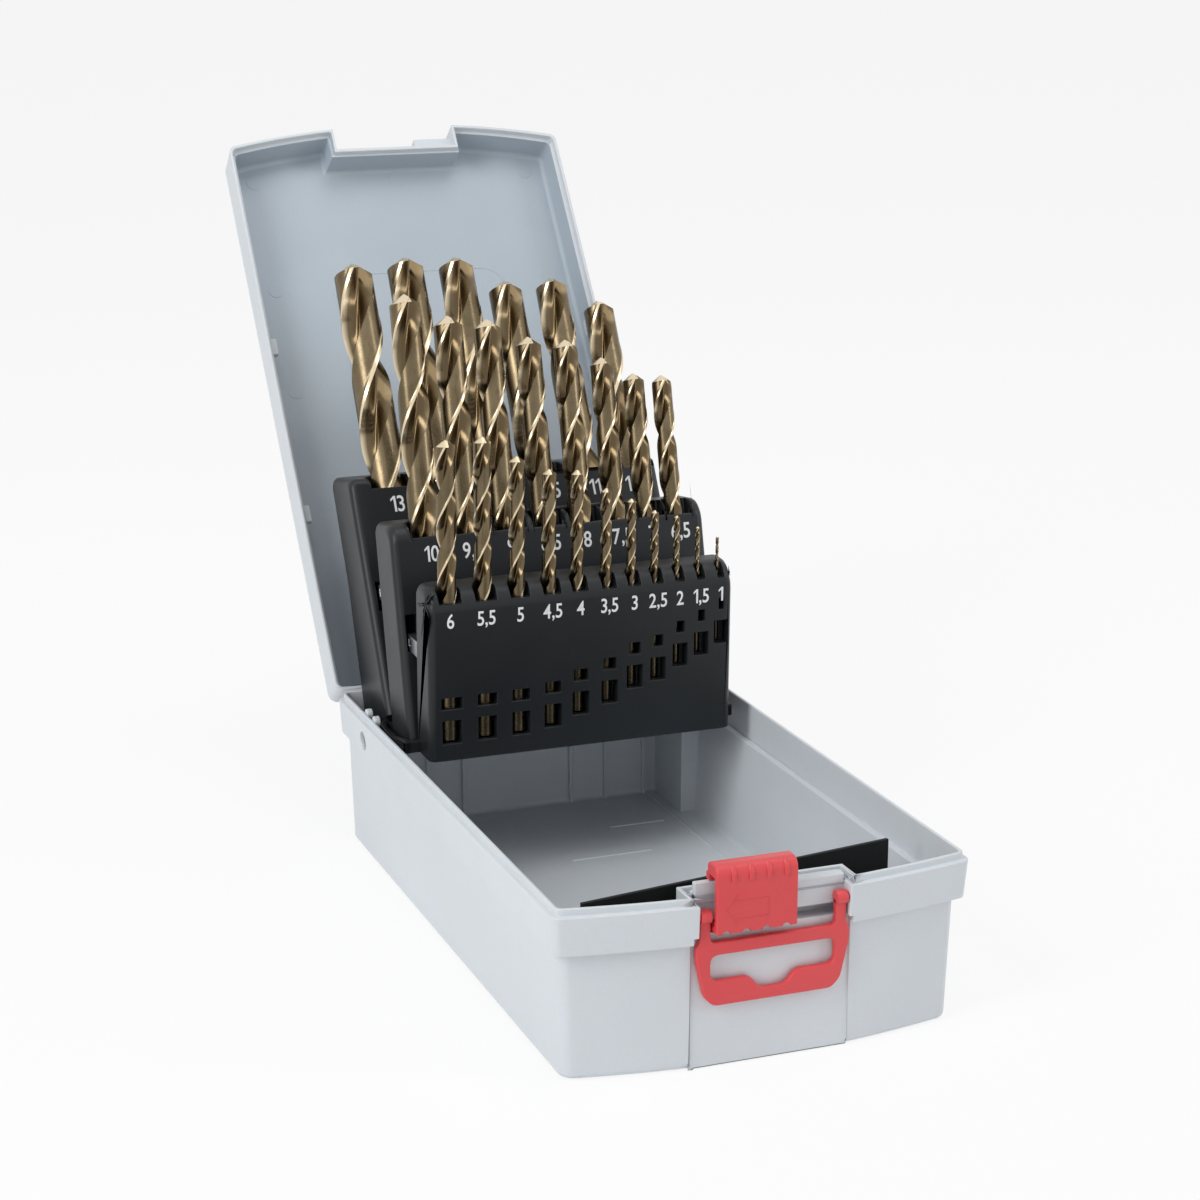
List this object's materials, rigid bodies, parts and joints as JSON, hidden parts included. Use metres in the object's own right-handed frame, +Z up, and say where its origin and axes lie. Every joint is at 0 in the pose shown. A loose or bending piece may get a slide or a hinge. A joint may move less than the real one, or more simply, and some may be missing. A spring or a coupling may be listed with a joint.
{
  "type": "drill bit case",
  "caption": "Hinged-lid drill bit case with fanning racks that rise with the lid, lift-out twist drills, a sliding latch and a swing-out hanger.",
  "frame": {"origin": "centre of the tray's underside, on the surface the case stands on", "axes": "+X to the right seen from the latch side, +Y from the latch to the hinge, +Z up; the latch faces -Y"},
  "size_m": [0.12, 0.3453, 0.2147],
  "materials": {
    "case_plastic": "fine satin texture",
    "rack_plastic": "satin",
    "latch_plastic": "soft gloss",
    "card_plastic": "matt",
    "pin_steel": "bright",
    "clip_metal": "bright",
    "drill_bronze": "bronze oxide, ground"
  },
  "bodies": {
    "case_base": {"tray": "case_plastic", "hinge_pin_left": "pin_steel", "hinge_pin_right": "pin_steel", "pivot_pin_left": "pin_steel", "pivot_pin_right": "pin_steel", "card_diagonal": "card_plastic", "card_leaning": "card_plastic"},
    "lid": {"lid": "case_plastic"},
    "front_rack": {"rack_front": "rack_plastic", "link_clip_front": "clip_metal"},
    "middle_rack": {"rack_middle": "rack_plastic", "link_clip_back": "clip_metal"},
    "back_rack": {"rack_back": "rack_plastic"},
    "latch": {"latch_slider": "latch_plastic"},
    "hanger": {"hanger": "latch_plastic"},
    "drill_6_0": {"drill_6_0": "drill_bronze"},
    "drill_5_5": {"drill_5_5": "drill_bronze"},
    "drill_5_0": {"drill_5_0": "drill_bronze"},
    "drill_4_5": {"drill_4_5": "drill_bronze"},
    "drill_4_0": {"drill_4_0": "drill_bronze"},
    "drill_3_5": {"drill_3_5": "drill_bronze"},
    "drill_3_0": {"drill_3_0": "drill_bronze"},
    "drill_2_5": {"drill_2_5": "drill_bronze"},
    "drill_2_0": {"drill_2_0": "drill_bronze"},
    "drill_1_5": {"drill_1_5": "drill_bronze"},
    "drill_1_0": {"drill_1_0": "drill_bronze"},
    "drill_10_0": {"drill_10_0": "drill_bronze"},
    "drill_9_5": {"drill_9_5": "drill_bronze"},
    "drill_9_0": {"drill_9_0": "drill_bronze"},
    "drill_8_5": {"drill_8_5": "drill_bronze"},
    "drill_8_0": {"drill_8_0": "drill_bronze"},
    "drill_7_5": {"drill_7_5": "drill_bronze"},
    "drill_7_0": {"drill_7_0": "drill_bronze"},
    "drill_6_5": {"drill_6_5": "drill_bronze"},
    "drill_13_0": {"drill_13_0": "drill_bronze"},
    "drill_12_5": {"drill_12_5": "drill_bronze"},
    "drill_12_0": {"drill_12_0": "drill_bronze"},
    "drill_11_5": {"drill_11_5": "drill_bronze"},
    "drill_11_0": {"drill_11_0": "drill_bronze"},
    "drill_10_5": {"drill_10_5": "drill_bronze"}
  },
  "joints": [
    {"name": "lid_hinge", "type": "hinge", "parent": "case_base", "child": "lid", "pos_m": [0, 0.1018, 0.04785], "axis": [-1, 0, 0], "range_deg": [-127, 0]},
    {"name": "front_rack_hinge", "type": "hinge", "parent": "case_base", "child": "front_rack", "pos_m": [0, 0.0735, 0.0407], "axis": [-1, 0, 0], "range_deg": [-89, 0]},
    {"name": "middle_rack_hinge", "type": "hinge", "parent": "case_base", "child": "middle_rack", "pos_m": [0, 0.0735, 0.0407], "axis": [-1, 0, 0], "range_deg": [-104, 0]},
    {"name": "back_rack_hinge", "type": "hinge", "parent": "case_base", "child": "back_rack", "pos_m": [0, 0.0735, 0.0407], "axis": [-1, 0, 0], "range_deg": [-119.5, 0]},
    {"name": "latch_slide", "type": "slide", "parent": "case_base", "child": "latch", "axis": [1, 0, 0], "range_m": [0, 0.011]},
    {"name": "hanger_hinge", "type": "hinge", "parent": "case_base", "child": "hanger", "pos_m": [0, -0.1046, 0.0434], "axis": [-1, 0, 0], "range_deg": [0, 90]},
    {"name": "drill_6_0_lift", "type": "slide", "parent": "front_rack", "child": "drill_6_0", "axis": [0, -0.0175, 0.9998], "range_m": [0, 0.0501]},
    {"name": "drill_5_5_lift", "type": "slide", "parent": "front_rack", "child": "drill_5_5", "axis": [0, -0.0175, 0.9998], "range_m": [0, 0.0499]},
    {"name": "drill_5_0_lift", "type": "slide", "parent": "front_rack", "child": "drill_5_0", "axis": [0, -0.0175, 0.9998], "range_m": [0, 0.0497]},
    {"name": "drill_4_5_lift", "type": "slide", "parent": "front_rack", "child": "drill_4_5", "axis": [0, -0.0175, 0.9998], "range_m": [0, 0.0485]},
    {"name": "drill_4_0_lift", "type": "slide", "parent": "front_rack", "child": "drill_4_0", "axis": [0, -0.0175, 0.9998], "range_m": [0, 0.0455]},
    {"name": "drill_3_5_lift", "type": "slide", "parent": "front_rack", "child": "drill_3_5", "axis": [0, -0.0175, 0.9998], "range_m": [0, 0.0429]},
    {"name": "drill_3_0_lift", "type": "slide", "parent": "front_rack", "child": "drill_3_0", "axis": [0, -0.0175, 0.9998], "range_m": [0, 0.0389]},
    {"name": "drill_2_5_lift", "type": "slide", "parent": "front_rack", "child": "drill_2_5", "axis": [0, -0.0175, 0.9998], "range_m": [0, 0.0372]},
    {"name": "drill_2_0_lift", "type": "slide", "parent": "front_rack", "child": "drill_2_0", "axis": [0, -0.0175, 0.9998], "range_m": [0, 0.0335]},
    {"name": "drill_1_5_lift", "type": "slide", "parent": "front_rack", "child": "drill_1_5", "axis": [0, -0.0175, 0.9998], "range_m": [0, 0.0306]},
    {"name": "drill_1_0_lift", "type": "slide", "parent": "front_rack", "child": "drill_1_0", "axis": [0, -0.0175, 0.9998], "range_m": [0, 0.0274]},
    {"name": "drill_10_0_lift", "type": "slide", "parent": "middle_rack", "child": "drill_10_0", "axis": [0, 0.2419, 0.9703], "range_m": [0, 0.0651]},
    {"name": "drill_9_5_lift", "type": "slide", "parent": "middle_rack", "child": "drill_9_5", "axis": [0, 0.2419, 0.9703], "range_m": [0, 0.0645]},
    {"name": "drill_9_0_lift", "type": "slide", "parent": "middle_rack", "child": "drill_9_0", "axis": [0, 0.2419, 0.9703], "range_m": [0, 0.0663]},
    {"name": "drill_8_5_lift", "type": "slide", "parent": "middle_rack", "child": "drill_8_5", "axis": [0, 0.2419, 0.9703], "range_m": [0, 0.0646]},
    {"name": "drill_8_0_lift", "type": "slide", "parent": "middle_rack", "child": "drill_8_0", "axis": [0, 0.2419, 0.9703], "range_m": [0, 0.0663]},
    {"name": "drill_7_5_lift", "type": "slide", "parent": "middle_rack", "child": "drill_7_5", "axis": [0, 0.2419, 0.9703], "range_m": [0, 0.0646]},
    {"name": "drill_7_0_lift", "type": "slide", "parent": "middle_rack", "child": "drill_7_0", "axis": [0, 0.2419, 0.9703], "range_m": [0, 0.0653]},
    {"name": "drill_6_5_lift", "type": "slide", "parent": "middle_rack", "child": "drill_6_5", "axis": [0, 0.2419, 0.9703], "range_m": [0, 0.0635]},
    {"name": "drill_13_0_lift", "type": "slide", "parent": "back_rack", "child": "drill_13_0", "axis": [0, 0.4924, 0.8704], "range_m": [0, 0.08]},
    {"name": "drill_12_5_lift", "type": "slide", "parent": "back_rack", "child": "drill_12_5", "axis": [0, 0.4924, 0.8704], "range_m": [0, 0.0788]},
    {"name": "drill_12_0_lift", "type": "slide", "parent": "back_rack", "child": "drill_12_0", "axis": [0, 0.4924, 0.8704], "range_m": [0, 0.0797]},
    {"name": "drill_11_5_lift", "type": "slide", "parent": "back_rack", "child": "drill_11_5", "axis": [0, 0.4924, 0.8704], "range_m": [0, 0.08]},
    {"name": "drill_11_0_lift", "type": "slide", "parent": "back_rack", "child": "drill_11_0", "axis": [0, 0.4924, 0.8704], "range_m": [0, 0.08]},
    {"name": "drill_10_5_lift", "type": "slide", "parent": "back_rack", "child": "drill_10_5", "axis": [0, 0.4924, 0.8704], "range_m": [0, 0.08]}
  ],
  "couplings": [
    {"joint": "front_rack_hinge", "follows": "lid_hinge", "ratio": 0.70078},
    {"joint": "middle_rack_hinge", "follows": "lid_hinge", "ratio": 0.81889},
    {"joint": "back_rack_hinge", "follows": "lid_hinge", "ratio": 0.94094}
  ]
}
